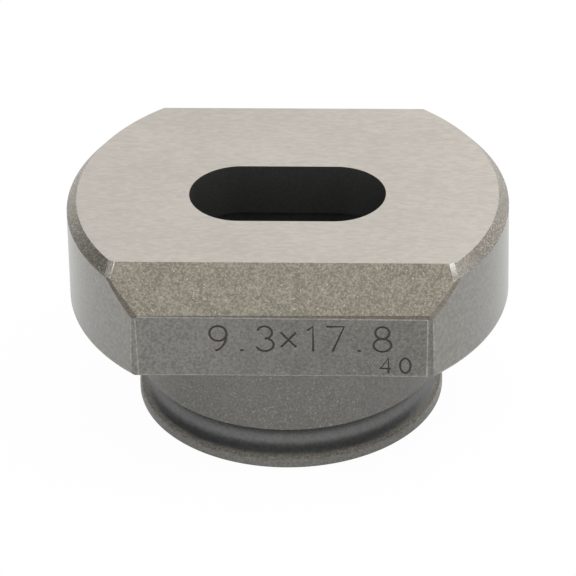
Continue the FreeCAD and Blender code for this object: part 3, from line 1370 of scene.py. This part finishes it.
    def flat_cuts(self) -> list[PlaneCut]:
        """The cuts for the flats, the slope and the ground corners, in order."""
        flats = []
        for end in (-1, 1):
            facing = Vector((0.0, end, 0.0))
            flats.append(PlaneCut(facing * abs(self.front), facing, Surface.MILLED_FLAT))
        slope = PlaneCut(self.slope_foot(), self.slope_normal(), Surface.BLASTED_SLOPE)
        cuts = [*flats, slope, *self.slope_foot_cuts(), *self.flat_end_cuts()]
        for broken in CORNER_BREAKS:
            cuts += self.corner_cuts(broken)
        for end in SLOPE_ENDS:
            cuts += [*self.slope_end_cuts(end), *self.rim_end_cuts(end)]
        return cuts

    def build(self) -> bpy.types.Object:
        """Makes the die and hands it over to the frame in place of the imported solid."""
        die = self.turn_blank()
        self.bore_hole(die)
        cut_planes(die.data, self.flat_cuts(), self.shoulder - TINY)
        SizeMark(plane=self.front).engrave(die)
        die.name = "die_in_steel"
        die.data.name = "die_in_steel"
        die.data.polygons.foreach_set("use_smooth", [True] * len(die.data.polygons))
        die.data.set_sharp_from_angle(angle=self.sharp_angle)
        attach(die, DIE_BODY)
        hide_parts(DIE_NODE)
        return die


@dataclass(frozen=True)
class Viewpoint:
    """Where the camera stands and how long its lens is, for a square frame."""

    azimuth: float = math.radians(2.770)
    elevation: float = math.radians(33.142)
    roll: float = math.radians(-1.168)
    distance: float = 475.86 * MM
    aim: Point3 = (-0.138 * MM, 0.136 * MM, 10.218 * MM)
    focal_length: float = 325.19
    sensor: float = 36.0
    clip_start: float = 10.0 * MM

    def add_camera(self) -> None:
        """Adds the camera and looks through it."""
        level = math.cos(self.elevation)
        forward = Vector((
            -math.sin(self.azimuth) * level,
            math.cos(self.azimuth) * level,
            -math.sin(self.elevation),
        ))
        right = Vector((math.cos(self.azimuth), math.sin(self.azimuth), 0.0))
        upward = right.cross(forward)
        turn = Matrix((right, upward, -forward)).transposed().to_4x4()
        place = Matrix.Translation(Vector(self.aim) - forward * self.distance)
        data = bpy.data.cameras.new("camera")
        data.lens = self.focal_length
        data.sensor_width = self.sensor
        data.clip_start = self.clip_start
        camera = add_object("camera", data)
        camera.matrix_world = place @ turn @ Matrix.Rotation(self.roll, 4, "Z")
        bpy.context.scene.camera = camera


@dataclass(frozen=True)
class Lamp:
    """One large soft lamp."""

    name: str
    place: Point3
    size: float
    watts: float

    def add(self, aim: Vector) -> None:
        """Adds the lamp, turned to its aim."""
        data = bpy.data.lights.new(self.name, "AREA")
        data.shape = "SQUARE"
        data.size = self.size
        data.energy = self.watts
        lamp = add_object(self.name, data)
        place = Vector(self.place)
        turn = (aim - place).to_track_quat("-Z", "Y").to_matrix().to_4x4()
        lamp.matrix_world = Matrix.Translation(place) @ turn


@dataclass(frozen=True)
class DarkCard:
    """A black card bent round the front and sides of the set, which only the steel reflects."""

    distance: float = 1.2
    left_end: float = math.radians(-130)
    right_end: float = math.radians(112)
    lowest: float = math.radians(1)
    highest: float = math.radians(63)
    steps: int = 48
    level: float = 0.1

    def add(self) -> None:
        """Adds the card, seen by no camera and casting no shadow."""
        corners = []
        for tilt in (self.lowest, self.highest):
            for step in range(self.steps + 1):
                turn = self.left_end + (self.right_end - self.left_end) * step / self.steps
                across = self.distance * math.cos(tilt)
                height = self.distance * math.sin(tilt)
                corners.append((across * math.sin(turn), -across * math.cos(turn), height))
        above = self.steps + 1
        faces = [(here, here + 1, here + 1 + above, here + above) for here in range(self.steps)]
        material, graph = new_material("card_black")
        matt = graph.node("ShaderNodeBsdfDiffuse", inputs={"Color": (self.level,) * 3})
        graph.node("ShaderNodeOutputMaterial", inputs={"Surface": matt.outputs[0]})
        card = mesh_object("dark_card", corners, faces, material)
        card.visible_camera = False
        card.visible_diffuse = False
        card.visible_transmission = False
        card.visible_shadow = False


@dataclass(frozen=True)
class Studio:
    """A white floor in a white surround, with soft lamps and a dark card."""

    floor_half: float = 1.5
    floor_colour: Colour = (0.9, 0.9, 0.9)
    surround: float = 1.0
    white_seen: float = 0.97
    white_mirrored: float = 0.5
    aim: Point3 = (0.0, 0.0, 0.01)
    lamps: tuple[Lamp, ...] = (
        Lamp("right_lamp", (0.24, 0.03, 0.39), 0.2, 0.48),
        Lamp("back_lamp", (0.12, 0.27, 0.2), 0.16, 0.08),
    )

    @staticmethod
    def shown_in_steel(graph: Graph, path: bpy.types.Node) -> Value:
        """1 for the rays that see the set by reflection or refraction."""
        glossy = Value(graph, path.outputs["Is Glossy Ray"])
        return graph.math("MAXIMUM", glossy, Value(graph, path.outputs["Is Transmission Ray"]))

    def add_floor(self) -> None:
        """Adds the floor, near white, which keeps the die's shadow."""
        half = self.floor_half
        corners = [(-half, -half, 0.0), (half, -half, 0.0), (half, half, 0.0), (-half, half, 0.0)]
        material, graph = new_material("floor_white")
        matt = graph.node("ShaderNodeBsdfDiffuse", inputs={"Color": self.floor_colour})
        white = graph.node("ShaderNodeEmission", inputs={"Color": WHITE, "Strength": 1.0})
        path = graph.node("ShaderNodeLightPath")
        seen = Value(graph, path.outputs["Is Camera Ray"]) * self.white_seen
        mirrored = self.shown_in_steel(graph, path) * self.white_mirrored
        mixed = graph.node(
            "ShaderNodeMixShader",
            inputs={0: seen + mirrored, 1: matt.outputs[0], 2: white.outputs[0]},
        )
        graph.node("ShaderNodeOutputMaterial", inputs={"Surface": mixed.outputs[0]})
        mesh_object("floor", corners, [(0, 1, 2, 3)], material)

    def add_surround(self) -> None:
        """Lights the scene evenly from all round, and shows white behind it."""
        world = bpy.data.worlds.new("white_surround")
        world.use_nodes = True
        graph = Graph(world.node_tree)
        light = graph.node("ShaderNodeBackground", inputs={"Color": WHITE, "Strength": self.surround})
        white = graph.node("ShaderNodeBackground", inputs={"Color": WHITE, "Strength": 1.0})
        path = graph.node("ShaderNodeLightPath")
        shown = Value(graph, path.outputs["Is Camera Ray"]) + self.shown_in_steel(graph, path)
        mixed = graph.node(
            "ShaderNodeMixShader", inputs={0: shown, 1: light.outputs[0], 2: white.outputs[0]}
        )
        graph.node("ShaderNodeOutputWorld", inputs={"Surface": mixed.outputs[0]})
        bpy.context.scene.world = world

    def build(self) -> None:
        """Builds the floor, the surround, the dark card and the lamps."""
        self.add_floor()
        self.add_surround()
        DarkCard().add()
        for lamp in self.lamps:
            lamp.add(Vector(self.aim))
        bpy.context.scene.view_settings.view_transform = "Standard"


def main() -> None:
    """Builds the die, the studio and the camera, and reports each piece."""
    logging.basicConfig(level=logging.INFO, format="%(name)s: %(message)s")
    low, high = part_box(DIE_NODE)
    die = PunchDie(low, high).build()
    log.info("%s: %d faces, %d finishes", die.name, len(die.data.polygons), len(die.data.materials))
    studio = Studio()
    studio.build()
    log.info("studio: floor, surround, dark card and %d lamps", len(studio.lamps))
    viewpoint = Viewpoint()
    viewpoint.add_camera()
    log.info("camera: %.1f degrees above the floor", math.degrees(viewpoint.elevation))


if __name__ == "__main__":
    main()
